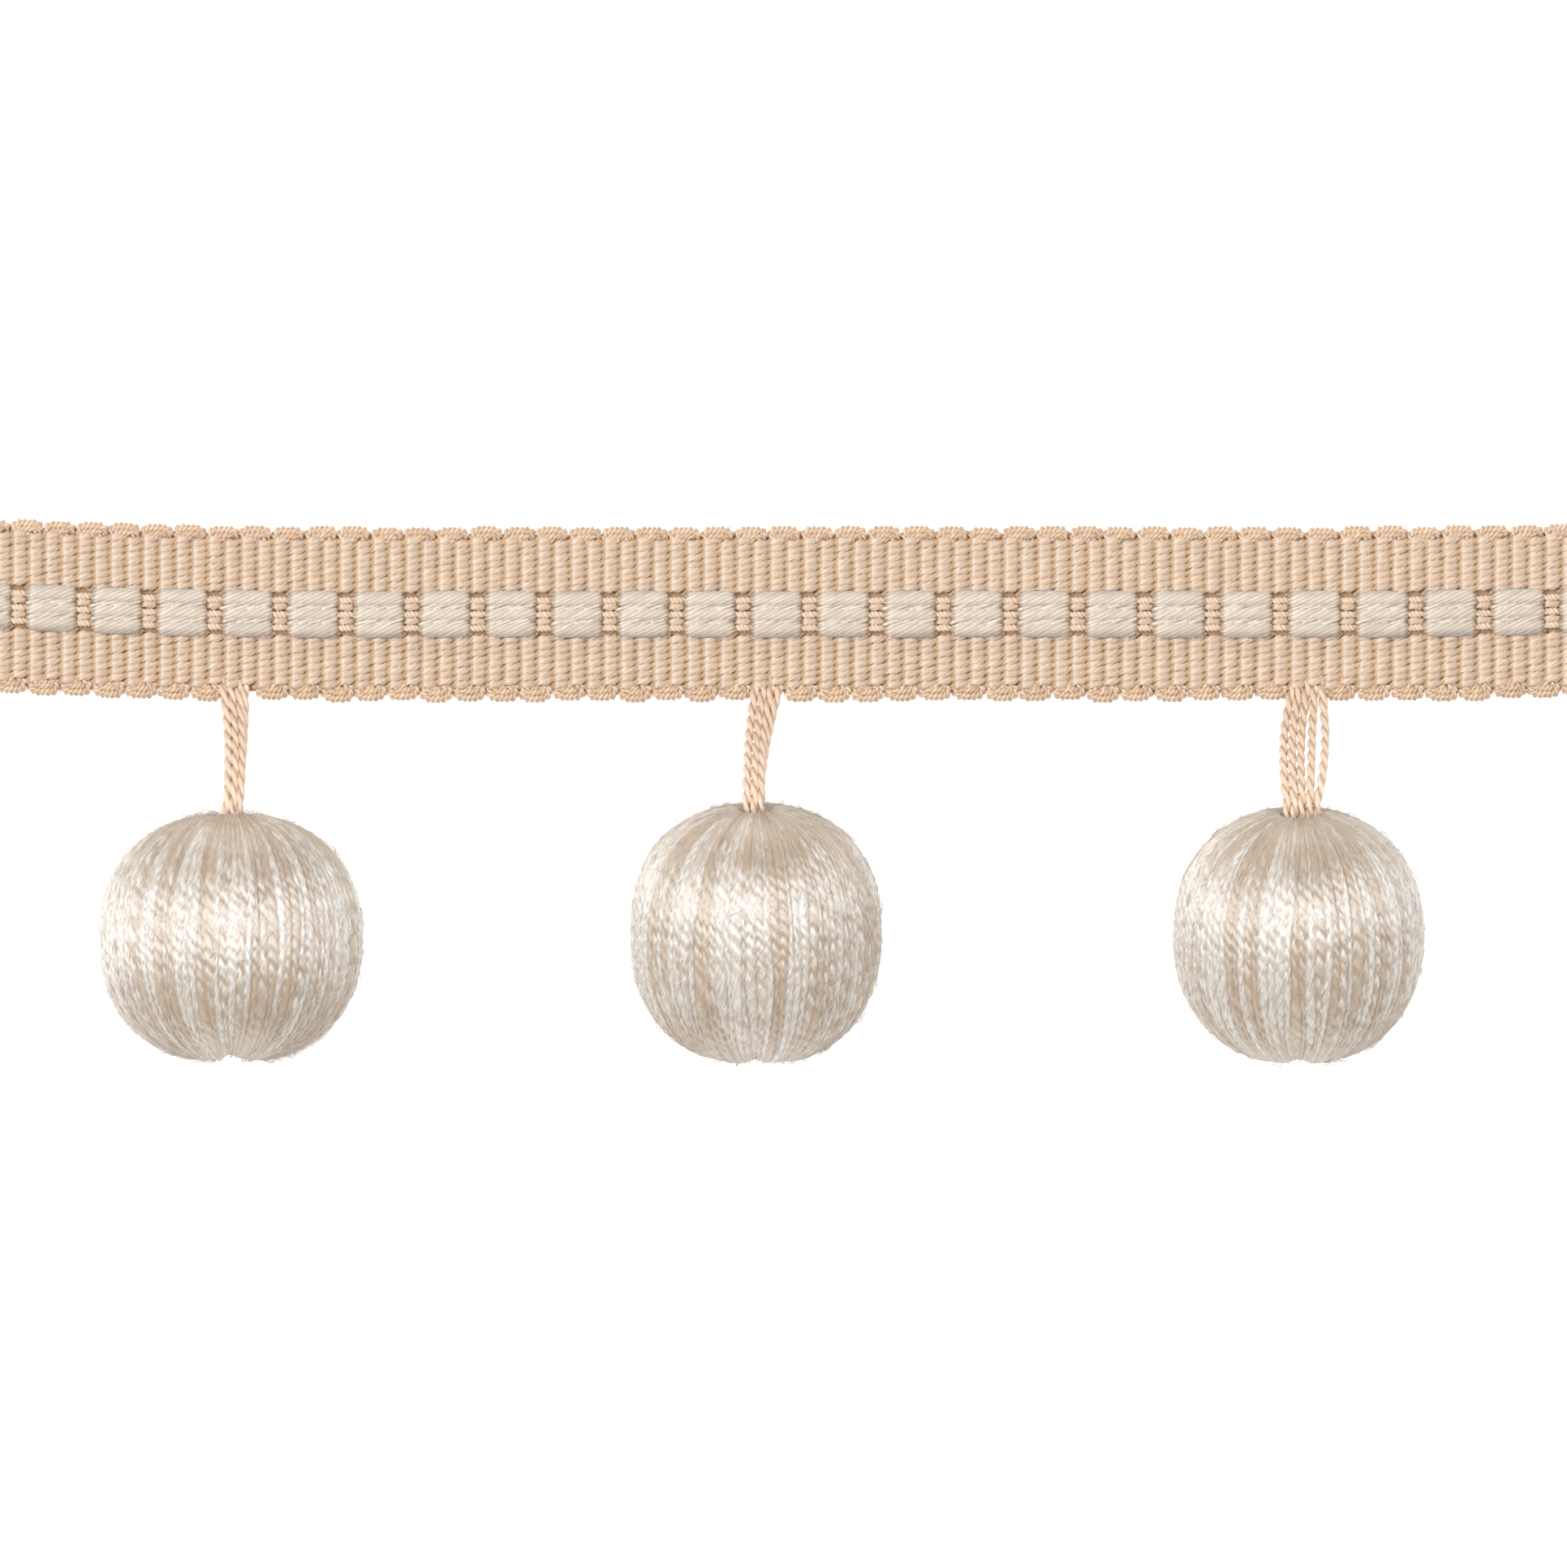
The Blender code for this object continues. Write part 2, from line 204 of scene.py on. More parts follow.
class Yarns:
    """Closed tubes of yarn, collected into one mesh.

    Each point keeps fibre, a place in the yarn's own space with z along it, grain, the direction its fibres
    run in, tone, its dye from 0 to 1, and the groove mask, which is 1 in the grooves between plies, where
    shade is painted into the colour.
    """

    def __init__(self, seed):
        self.chance = random.Random(seed)
        self.points, self.fibre, self.grain, self.tone, self.crease, self.faces = [], [], [], [], [], []
        self.count = 0

    def add_rings(self, rings, fibre, grain, tone, crease=0.0):
        """rings is an array of steps, sides and x, y, z. Both ends are closed."""
        steps, sides = rings.shape[:2]
        index = self.count + np.arange(steps * sides).reshape(steps, sides)
        beside = np.roll(index, -1, axis=1)
        quads = np.stack([index[:-1], index[1:], beside[1:], beside[:-1]], axis=-1).reshape(-1, 4)
        self.faces += quads.tolist()
        self.faces += [index[0].tolist(), index[-1][::-1].tolist()]
        self.points.append(rings.reshape(-1, 3))
        self.fibre.append(fibre.reshape(-1, 3))
        self.grain.append(np.broadcast_to(grain, rings.shape).reshape(-1, 3))
        self.tone.append(np.broadcast_to(tone, (steps, sides)).reshape(-1))
        self.crease.append(np.broadcast_to(crease, (steps, sides)).reshape(-1))
        self.count += steps * sides

    def add_yarn(
        self,
        line,
        half_width,
        half_height,
        turns,
        tone,
        lobes=2,
        sides=8,
        waist=0.68,
        marl=0.0,
        cut=1.6,
        up=(0, 0, 1),
    ):
        """A plied yarn along line.

        turns is its twist in radians at each point, positive for the common hand. waist is its radius in the
        grooves between plies, marl how unlike the dyes of its plies are, and cut how narrow the painted shade
        in the grooves is.
        """
        line = np.asarray(line, float)
        tangent = unit(np.gradient(line, axis=0))
        side = unit(np.cross(tangent, np.asarray(up, float)))
        lift = np.cross(side, tangent)
        own = 2.0 * np.pi * np.arange(sides) / sides
        crest = np.abs(np.cos(lobes * own / 2.0)) ** 0.9
        radius = waist + (1.0 - waist) * crest
        angle = np.asarray(turns)[:, None] + own[None, :]
        wide = np.broadcast_to(half_width, len(line))[:, None] * radius * np.cos(angle)
        high = np.broadcast_to(half_height, len(line))[:, None] * radius * np.sin(angle)
        rings = line[:, None, :] + side[:, None, :] * wide[..., None] + lift[:, None, :] * high[..., None]
        along = np.concatenate([[0.0], np.cumsum(np.linalg.norm(np.diff(line, axis=0), axis=1))])
        start = np.array([self.chance.uniform(0, 50) for _ in range(3)])
        size = float(np.max(half_width))
        fibre = np.empty(rings.shape)
        fibre[..., 0] = start[0] + size * np.cos(own)[None, :]
        fibre[..., 1] = start[1] + size * np.sin(own)[None, :]
        fibre[..., 2] = start[2] + along[:, None]
        tone = np.asarray(tone).reshape(-1, 1) if np.ndim(tone) else np.full((len(line), 1), tone)
        if marl:
            plies = np.array([self.chance.uniform(-marl, marl) for _ in range(lobes)])
            tone = tone + plies[np.floor(own / (2.0 * np.pi) * lobes + 0.5).astype(int) % lobes][None, :]
        # Painted shade: the mask is 1 in the grooves between plies, where the colour is darkened as shade.
        crease = np.maximum(0.0, 1.0 - cut * crest)
        self.add_rings(rings, fibre, tangent[:, None, :], tone, crease[None, :])

    def build(self, name, material, slot, nodes=()):
        return add_piece(
            name,
            np.concatenate(self.points),
            self.faces,
            np.concatenate(self.fibre),
            np.concatenate(self.grain),
            np.concatenate(self.tone),
            np.concatenate(self.crease),
            material,
            nodes,
        )


def add_piece(name, points, faces, fibre, grain, tone, crease, material, nodes=()):
    """A smooth mesh from points in mm, riding on the part and standing for the given nodes."""
    mesh = bpy.data.meshes.new(name)
    mesh.from_pydata((points * MM).tolist(), [], faces)
    for label, values in (("fibre", fibre), ("grain", grain)):
        attribute = mesh.attributes.new(label, "FLOAT_VECTOR", "POINT")
        attribute.data.foreach_set("vector", np.float32(values).ravel())
    for label, values in (("tone", tone), ("crease", crease)):
        attribute = mesh.attributes.new(label, "FLOAT", "POINT")
        attribute.data.foreach_set("value", np.float32(values).ravel())
    mesh.materials.append(material)
    mesh.shade_smooth()
    obj = bpy.data.objects.new(name, mesh)
    bpy.context.scene.collection.objects.link(obj)
    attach(obj, "root")
    if nodes:
        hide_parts(*nodes)
    return obj


def yarn_material(
    name,
    light,
    dark,
    streak_and_shade_colour,
    streak=(9.0, 9.0, 0.9),
    roughness=0.58,
    ior=2.2,
    sheen=0.05,
    bump=0.7,
    rise=0.06,
    groove_shade_strength=0.8,
    streaking=0.55,
    anisotropic=0.88,
    mottle=1.1,
):
    """Spun yarn, with its dye from light to dark by tone and streaks of fine fibres.

    Where anisotropic is above 0, it shines across its grain. The grooves between plies get painted shade.
    """
    material = bpy.data.materials.new(name)
    material.use_nodes = True
    nodes, links = material.node_tree.nodes, material.node_tree.links
    shader = nodes["Principled BSDF"]
    fibre = nodes.new("ShaderNodeAttribute")
    fibre.attribute_name = "fibre"
    tone = nodes.new("ShaderNodeAttribute")
    tone.attribute_name = "tone"

    def noise(scale, detail):
        stretched = nodes.new("ShaderNodeVectorMath")
        stretched.operation = "MULTIPLY"
        stretched.inputs[1].default_value = scale
        links.new(fibre.outputs["Vector"], stretched.inputs[0])
        texture = nodes.new("ShaderNodeTexNoise")
        texture.inputs["Scale"].default_value = 1.0
        texture.inputs["Detail"].default_value = detail
        texture.inputs["Roughness"].default_value = 0.6
        links.new(stretched.outputs["Vector"], texture.inputs["Vector"])
        return texture.outputs["Fac"]

    def math_node(operation, first, second):
        node = nodes.new("ShaderNodeMath")
        node.operation = operation
        for socket, value in zip(node.inputs, (first, second)):
            if isinstance(value, (int, float)):
                socket.default_value = value
            else:
                links.new(value, socket)
        return node.outputs[0]

    def mix(factor, first, second):
        node = nodes.new("ShaderNodeMix")
        node.data_type = "RGBA"
        links.new(factor, node.inputs["Factor"])
        for socket, value in ((node.inputs[6], first), (node.inputs[7], second)):
            if isinstance(value, tuple):
                socket.default_value = (*value, 1.0)
            else:
                links.new(value, socket)
        return node.outputs[2]

    fine = noise(streak, 3.0)
    patches = noise((0.9, 0.9, 0.35), 2.0)
    shift = math_node("MULTIPLY", math_node("SUBTRACT", patches, 0.5), mottle)
    dye = math_node("ADD", tone.outputs["Fac"], shift)
    dye.node.use_clamp = True
    colour = mix(dye, light, dark)
    ramp = nodes.new("ShaderNodeMapRange")
    ramp.inputs["From Min"].default_value = 0.62
    ramp.inputs["From Max"].default_value = 0.36
    ramp.inputs["To Min"].default_value = 0.0
    ramp.inputs["To Max"].default_value = streaking
    links.new(fine, ramp.inputs["Value"])
    colour = mix(ramp.outputs["Result"], colour, streak_and_shade_colour)
    # Painted shade: in the grooves between plies the colour is mixed towards the dark colour.
    crease = nodes.new("ShaderNodeAttribute")
    crease.attribute_name = "crease"
    depth = math_node("POWER", crease.outputs["Fac"], 1.8)
    colour = mix(math_node("MULTIPLY", depth, groove_shade_strength), colour, streak_and_shade_colour)
    links.new(colour, shader.inputs["Base Color"])
    relief = nodes.new("ShaderNodeBump")
    relief.inputs["Strength"].default_value = bump
    relief.inputs["Distance"].default_value = rise * MM
    links.new(fine, relief.inputs["Height"])
    links.new(relief.outputs["Normal"], shader.inputs["Normal"])
    shader.inputs["Roughness"].default_value = roughness
    shader.inputs["IOR"].default_value = ior
    shader.inputs["Specular IOR Level"].default_value = 1.0
    grain = nodes.new("ShaderNodeAttribute")
    grain.attribute_name = "grain"
    links.new(grain.outputs["Vector"], shader.inputs["Tangent"])
    shader.inputs["Anisotropic"].default_value = anisotropic
    shader.inputs["Anisotropic Rotation"].default_value = 0.25
    shader.inputs["Sheen Weight"].default_value = sheen
    shader.inputs["Sheen Roughness"].default_value = 0.45
    return material


# Heading


def thread_crowns(yarns, row, parity):
    """One warp thread: fat, round crowns over every second rib and thin dips under the ribs between."""
    chance = yarns.chance
    line, wide, high, turns, tones = [], [], [], [], []
    base = chance.uniform(0.15, 0.6)
    first = -RIBS_EACH_SIDE - 1
    for rib in range(first, RIBS_EACH_SIDE + 2):
        over = (rib - parity) % 2 == 0
        places = np.linspace(-0.62, 0.62, 9) if over else np.array([-0.14, 0.14])
        swell = chance.uniform(-0.04, 0.04)
        drift = chance.uniform(-0.035, 0.035)
        phase = chance.uniform(-0.45, 0.45) + 0.5 * math.pi
        tone = base + chance.uniform(-0.12, 0.12)
        for place in places:
            u = rib + place
            if abs(u) > RIBS_EACH_SIDE + 0.5:
                continue
            x = rib_x(u)
            wave = math.cos(math.pi * (place if over else 1.0 + place))
            z = WARP_MIDDLE_Z + WARP_SWING * wave + (swell if over else 0.0)
            slant = WARP_SLANT * (x - rib_x(rib)) if over else 0.0
            line.append((x, centreline_y(x) + row + slant + (drift if over else 0.0), z))
            narrow = max(0.0, 1.0 - abs(place / 0.68) ** 3.5) if over else 0.3
            wide.append(WARP_HALF_WIDTH * (0.42 + 0.58 * narrow) * (1.0 + swell))
            high.append(WARP_HALF_HEIGHT * (0.75 + 0.25 * narrow))
            turns.append(phase + 2.0 * math.pi * (x - rib_x(rib)) / WARP_TWIST_LENGTH)
            tones.append(tone)
    yarns.add_yarn(
        line,
        np.array(wide),
        np.array(high),
        np.array(turns),
        np.array(tones),
        lobes=WARP_PLIES,
        waist=0.62,
        marl=0.3,
    )


def binder_crowns(yarns, row, half_width, top, twist, plies, steps, tone):
    """Short arcs of one row over the ribs between the cream squares."""
    chance = yarns.chance
    low = -(RIBS_EACH_SIDE // RIBS_PER_SQUARE)
    for square in range(low, -low):
        rib = square * RIBS_PER_SQUARE + RIBS_PER_SQUARE / 2
        u = rib + np.linspace(-BINDER_HALF_RIBS, BINDER_HALF_RIBS, steps)
        x = rib_x(u)
        place = (u - rib) / BINDER_HALF_RIBS
        z = top - half_width * 0.85 - 0.95 * np.abs(place) ** 2.6
        y = centreline_y(x) + row + chance.uniform(-0.03, 0.03)
        swell = 1.0 - 0.35 * np.abs(place) ** 2
        turns = twist * (x - x[0]) + chance.uniform(0.0, 3.0)
        yarns.add_yarn(
            np.stack([x, y, z], axis=1),
            half_width * swell,
            half_width * 0.85 * swell,
            turns,
            tone + chance.uniform(-0.12, 0.12),
            lobes=plies,
        )


def inlay_yarn(yarns, row, half_width):
    """A cream yarn that lies over three ribs and dives under the fourth, all along the heading."""
    chance = yarns.chance
    places = np.array([-1.62, -1.5, -1.38, -1.27, -1.1, -0.7, -0.25, 0.25, 0.7, 1.1, 1.27, 1.38, 1.5, 1.62])
    line, wide, high = [], [], []
    low = -(RIBS_EACH_SIDE // RIBS_PER_SQUARE)
    for square in range(low, -low + 1):
        middle = square * RIBS_PER_SQUARE
        swell = 1.0 + chance.uniform(-0.03, 0.04)
        drift = chance.uniform(-0.04, 0.04)
        for place in places:
            if abs(middle + place) > RIBS_EACH_SIDE + 0.5:
                continue
            x = rib_x(middle + place)
            rise = max(0.0, 1.0 - (abs(place) / FLOAT_HALF_RIBS) ** 9) ** 0.5
            z = INLAY_DIVE_Z + (INLAY_TOP - INLAY_HALF_HEIGHT - INLAY_DIVE_Z) * rise
            line.append((x, centreline_y(x) + row + drift, z))
            wide.append(half_width * swell * (0.40 + 0.60 * rise))
            high.append(INLAY_HALF_HEIGHT * (0.5 + 0.5 * rise))
    line = np.array(line)
    turns = 2.0 * np.pi * line[:, 0] / INLAY_TWIST_LENGTH + chance.uniform(0.0, 6.0)
    yarns.add_yarn(
        line,
        np.array(wide),
        np.array(high),
        turns,
        0.25,
        lobes=INLAY_STRANDS,
        sides=2 * INLAY_STRANDS,
        waist=0.72,
        marl=0.5,
    )


def stray_strands(yarns, seam):
    """Fine strands that slip across the seam between two inlay yarns, in the middle of each square."""
    chance = yarns.chance
    low = -(RIBS_EACH_SIDE // RIBS_PER_SQUARE)
    for square in range(low, -low + 1):
        for number in range(STRAY_STRANDS):
            middle = square * RIBS_PER_SQUARE - 1.0 + 0.62 * number + chance.uniform(-0.15, 0.15)
            if abs(middle) > RIBS_EACH_SIDE - 0.5:
                continue
            half = chance.uniform(0.8, 1.2)
            u = np.clip(middle + half * np.linspace(-1.0, 1.0, 7) / RIB_PITCH, None, RIBS_EACH_SIDE + 0.4)
            x = rib_x(u)
            slant = chance.uniform(0.24, 0.36)
            across = slant * (x - rib_x(middle))
            fall = ((x - rib_x(middle)) / half) ** 4
            y = centreline_y(x) + seam + across + chance.uniform(-0.1, 0.1)
            z = INLAY_TOP - 0.24 - 0.16 * fall - 0.10 * (across / 0.4) ** 2
            turns = np.linspace(0.0, 2.0, 7)
            yarns.add_yarn(
                np.stack([x, y, z], axis=1),
                STRAY_HALF_WIDTH,
                0.17 - 0.06 * fall,
                turns,
                chance.uniform(0.0, 0.5),
                sides=6,
            )


def loop_sizes(seed):
    chance = random.Random(seed)
    count = 2 * RIBS_EACH_SIDE + 4
    return [1.0 + LOOP_UNEVENNESS * chance.uniform(-1.0, 1.0) for _ in range(count)]


def edge_loop(yarns, left_rib, edge, reach, inside, size):
    """A weft loop of three strands that leaves one rib, turns at the edge and enters the next rib."""
    chance = yarns.chance
    out = math.copysign(1.0, edge)
    xa, xb = rib_x(left_rib), rib_x(left_rib + 1)
    middle = 0.5 * (xa + xb)
    half = 0.5 * (xb - xa)
    wobble = chance.uniform(-0.25, 0.25)
    for offset, radius, height, steps in LOOP_YARNS:
        depth = abs(edge) + reach * size - radius - offset - abs(inside)
        line, wide = [], []
        for angle in np.linspace(0.0, math.pi, steps):
            turned = math.copysign(abs(math.cos(angle)) ** 0.65, math.cos(angle))
            x = middle - (half + LOOP_SPREAD - 0.85 * offset) * turned + wobble * math.sin(angle) ** 2
            y = inside + out * depth * math.sin(angle) ** 0.5
            line.append((x, y, height + 0.10 * math.sin(angle)))
            wide.append(radius * (0.94 + 0.1 * math.sin(angle)))
        legs_in = [(xa, inside - out * 1.1, height), (xa - 0.03, inside - out * 0.4, height)]
        legs_out = [(xb + 0.03, inside - out * 0.4, height), (xb, inside - out * 1.1, height)]
        line = np.array(legs_in + line + legs_out)
        wide = np.array([0.6 * radius, 0.8 * radius] + wide + [0.8 * radius, 0.6 * radius])
        line[:, 1] += centreline_y(line[:, 0])
        along = np.concatenate([[0.0], np.cumsum(np.linalg.norm(np.diff(line, axis=0), axis=1))])
        turns = 2.0 * np.pi * along / LOOP_TWIST_LENGTH + chance.uniform(0.0, 6.0)
        # Painted shade: the inner strands of the same cord are dyed darker, as the shaded inner side of the
        # loop.
        tone = chance.uniform(0.1, 0.5) + (0.25 if offset else 0.0)
        yarns.add_yarn(line, wide, wide * 0.9, turns, tone, lobes=3, sides=6, waist=0.62, marl=0.4)


def at_hanger(rib):
    return any(abs(rib - place) < LOOP_RIBS / 2 for place in HANGER_RIBS)


def ground_sheet(material):
    """The weft bed under the warp: a thin closed sheet that swells in every rib, dark brown as painted shade
    where it shows between the threads.
    """
    places = np.arange(-RIBS_EACH_SIDE - 0.46, RIBS_EACH_SIDE + 0.47, 0.48)
    rows = np.array(GROUND_ROWS)
    x = rib_x(places)[:, None] * np.ones(len(rows))
    y = centreline_y(x) + rows[None, :]
    wave = np.cos(2.0 * np.pi * places)[:, None] * np.ones(len(rows))
    top = np.stack([x, y, GROUND_TOP_Z + 0.08 * wave], axis=-1)
    under = np.stack([x, y, np.full(x.shape, GROUND_UNDER_Z)], axis=-1)
    # Each ring goes round the sheet from its top face over one edge to its underside.
    rings = np.concatenate([top[:, ::-1], under], axis=1)
    bed = Yarns(1)
    bed.add_rings(rings[:, ::-1], rings[:, ::-1] * 0.5, np.array([0.0, 1.0, 0.0]), 0.5)
    return bed.build("heading_ground", material, "heading_beige", ["heading"])


def build_heading(materials):
    even, odd = Yarns(11), Yarns(12)
    for row in EVEN_ROWS:
        thread_crowns(even, row, 0)
    for row in ODD_ROWS:
        thread_crowns(odd, row, 1)
    even.build("warp_even", materials["warp"], "heading_beige")
    odd.build("warp_odd", materials["warp"], "heading_beige")
    binders = Yarns(13)
    fine_twist = -2.0 * math.pi / BINDER_PLY_LENGTH
    plain_twist = 2.0 * math.pi / WARP_TWIST_LENGTH
    for row in BINDER_ROWS:
        binder_crowns(binders, row, BINDER_HALF_WIDTH, BINDER_TOP, fine_twist, 2, 19, 0.0)
    for row in BINDER_PLAIN_ROWS:
        binder_crowns(binders, row, BINDER_PLAIN_HALF_WIDTH, BINDER_TOP, plain_twist, WARP_PLIES, 9, 0.8)
    binders.build("binders", materials["warp"], "heading_beige")
    inlay = Yarns(14)
    for row, half_width in INLAY_YARNS:
        inlay_yarn(inlay, row, half_width)
    for seam in INLAY_SEAMS:
        stray_strands(inlay, seam)
    inlay.build("inlay_yarns", materials["inlay"], "inlay_cream")
    loops = Yarns(15)
    sizes_top, sizes_bottom = loop_sizes(3), loop_sizes(8)
    for rib in range(-RIBS_EACH_SIDE, RIBS_EACH_SIDE):
        if rib % LOOP_RIBS == 0:
            size = sizes_top[int(round(rib / LOOP_RIBS)) + RIBS_EACH_SIDE]
            edge_loop(loops, rib, TOP_EDGE_Y, TOP_LOOP_REACH, TOP_LOOP_INSIDE, size)
        elif not at_hanger(rib + 0.5):
            size = sizes_bottom[int(round((rib + 1) / LOOP_RIBS)) + RIBS_EACH_SIDE]
            edge_loop(loops, rib, BOTTOM_EDGE_Y, BOTTOM_LOOP_REACH, BOTTOM_LOOP_INSIDE, size)
    loops.build("edge_loops", materials["loops"], "heading_beige")
    ground = ground_sheet(materials["ground"])


# Balls


def ball_frame(ball):
    centre = Vector((ball["x"], HEADING_Y + ball["y"], ball["radius"] - FLAT_SPOT_DEPTH))
    return Matrix.Translation(centre) @ Matrix.Rotation(math.radians(ball["tilt"] - 90.0), 4, "X")


def ball_profile(ball, angle):
    """Radius and height at angles from the top pole, with a hollow at each pole."""
    power = 2.0 / ball["fullness"]
    angle = angle - POLE_CROWDING * np.sin(2.0 * angle)
    radius = ball["radius"] * np.abs(np.sin(angle)) ** power
    height = ball["half_height"] * np.sign(np.cos(angle)) * np.abs(np.cos(angle)) ** power
    dip = TOP_DIP_SHARE * ball["hollow"]
    height = height - TOP_DIP_DEPTH * np.exp(-((radius / dip) ** 2)) * (height > 0.0)
    height = height + BOTTOM_HOLLOW_DEPTH * np.exp(-((radius / BOTTOM_HOLLOW_RADIUS) ** 2)) * (height < 0.0)
    return radius, height


def into_part(ball, local):
    """Points in a ball's own space to the part's space, flat where they meet the floor."""
    matrix = np.array(ball_frame(ball))
    placed = local @ matrix[:3, :3].T + matrix[:3, 3]
    placed[..., 2] = np.maximum(placed[..., 2], 0.0)
    return placed


class BallSurface:
    """The wound surface of one ball: where each place of each yarn lies, and its dye."""

    def __init__(self, number):
        self.ball = BALLS[number]
        chance = random.Random(40 + number)
        shown = [TONES[letter] for letter in WINDINGS[number]]
        hidden = []
        while len(hidden) < len(shown):
            hidden += [chance.choice((0.0, 0.0, 0.5, 1.0))] * chance.randint(1, 4)
        tones = shown + hidden[: len(shown)]
        self.count = len(tones)
        self.tones = np.array([min(1.0, max(0.0, t + chance.uniform(-0.12, 0.12))) for t in tones])
        # How unlike its two plies are, and stained patches a few yarns wide that grow towards the poles.
        unlike = {0.0: (0.08, 0.2), 0.5: (0.3, 0.5), 1.0: (0.18, 0.36)}
        self.marl = np.array([chance.uniform(*unlike[tone]) for tone in tones])
        cells = (2 * (self.count // 4), 9)
        self.stain = np.array([[chance.uniform(-1.0, 1.0) for _ in range(cells[1])] for _ in range(cells[0])])
        dense = np.linspace(0.0, np.pi, 2001)
        radius, height = ball_profile(self.ball, dense)
        travel = np.concatenate([[0.0], np.cumsum(np.hypot(np.diff(radius), np.diff(height)))])
        self.length = travel[-1]
        self.travel, self.radius, self.height = travel, radius, height
        self.phases = np.array([chance.uniform(0.0, 2.0 * math.pi) for _ in tones])
        self.lifts = np.array([chance.uniform(-1.0, 1.0) for _ in tones])
        self.sways = np.array([[chance.uniform(0.0, 6.3), chance.uniform(0.08, 0.2)] for _ in tones])
        self.lays = np.array([BALL_PLY_LENGTH * chance.uniform(0.85, 1.2) for _ in tones])

    def profile(self, v):
        radius = np.interp(v, self.travel, self.radius)
        height = np.interp(v, self.travel, self.height)
        step = 0.25
        dr = np.interp(v + step, self.travel, self.radius) - np.interp(v - step, self.travel, self.radius)
        dh = np.interp(v + step, self.travel, self.height) - np.interp(v - step, self.travel, self.height)
        slope = np.hypot(dr, dh)
        slope[slope < 1e-9] = 1.0
        return radius, height, -dh / slope, dr / slope

    def boundary(self, yarn, v):
        """Place round the ball of a yarn's left edge, in yarns, which wanders a little along its length."""
        phase, rate = self.sways[yarn % self.count, 0], self.sways[yarn % self.count, 1]
        return yarn + 0.27 * np.sin(phase + rate * v) + 0.12 * np.sin(2.1 * phase + 3.1 * rate * v)

    def relief(self, yarn, s, v):
        """Height over the bed in yarn widths at s, -0.5 to 0.5 across a two-ply yarn, and which ply."""
        phase = self.phases[yarn]
        turn = 2.0 * np.pi * v / self.lays[yarn] + phase + 0.9 * np.sin(0.31 * v + 3.0 * phase)
        lobes = []
        for hand in (1.0, -1.0):
            across = s - hand * 0.18 * np.sin(turn)
            lobes.append(hand * 0.11 * np.cos(turn) + np.sqrt(np.maximum(0.0, 0.31**2 - across**2)) * 0.8)
        return np.maximum(np.maximum(*lobes), -0.03), np.where(lobes[0] > lobes[1], 1.0, -1.0)

    def dye(self, yarn, ply, v):
        """Tone from 0 to 1: the yarn's own, its plies' difference, stains that grow towards the poles, and an
        even darkening towards the poles, partly the yarn's tan and partly painted shade where the sheen falls
        off.
        """
        across = yarn * self.stain.shape[0] / self.count
        down = v / self.length * (self.stain.shape[1] - 1)
        left = np.floor(across).astype(int)
        above = np.minimum(np.floor(down).astype(int), self.stain.shape[1] - 2)
        fx, fy = across - left, down - above
        right = (left + 1) % self.stain.shape[0]
        upper = self.stain[left, above] * (1.0 - fx) + self.stain[right, above] * fx
        lower = self.stain[left, above + 1] * (1.0 - fx) + self.stain[right, above + 1] * fx
        stain = upper * (1.0 - fy) + lower * fy
        polar_stain_and_shade = np.clip(np.abs(v / self.length - 0.5) / 0.3 - 0.35, 0.0, 1.0)
        # Painted shade: the tone darkens evenly towards the poles, partly the yarn's tan, partly shade where
        # the sheen falls off.
        tone = self.tones[yarn] + self.marl[yarn] * ply + stain * (0.2 + 0.9 * polar_stain_and_shade) + 0.95 * polar_stain_and_shade
        return np.clip(tone, 0.0, 1.0)

    def place(self, yarn, s, v, lift=0.0):
        """Points in the ball's own space."""
        radius, height, out_r, out_h = self.profile(v)
        left, right = self.boundary(yarn, v), self.boundary(yarn + 1, v)
        round_ball = left + (right - left) * (s + 0.5)
        theta = np.pi + 2.0 * np.pi * round_ball / self.count
        width = 2.0 * np.pi * radius / self.count
        stand = width * (self.relief(yarn, s, v)[0] - 0.38)
        bob = self.lifts[yarn] * np.sin(0.23 * v + 5.0 * self.lifts[yarn])
        stand = stand + 0.12 * bob * np.minimum(1.0, width / 0.6) + lift
        radius = radius + out_r * stand
        x = radius * np.cos(theta)
        cleft = BOTTOM_CLEFT_DEPTH * np.exp(-((x / BOTTOM_CLEFT_HALF_WIDTH) ** 2))
        height = height + out_h * stand + cleft * np.clip(-height / 4.0 - 2.2, 0.0, 1.0)
        grain = np.stack([out_h * np.cos(theta), out_h * np.sin(theta), -out_r], axis=-1)
        return np.stack([x, radius * np.sin(theta), height], axis=-1), theta, grain


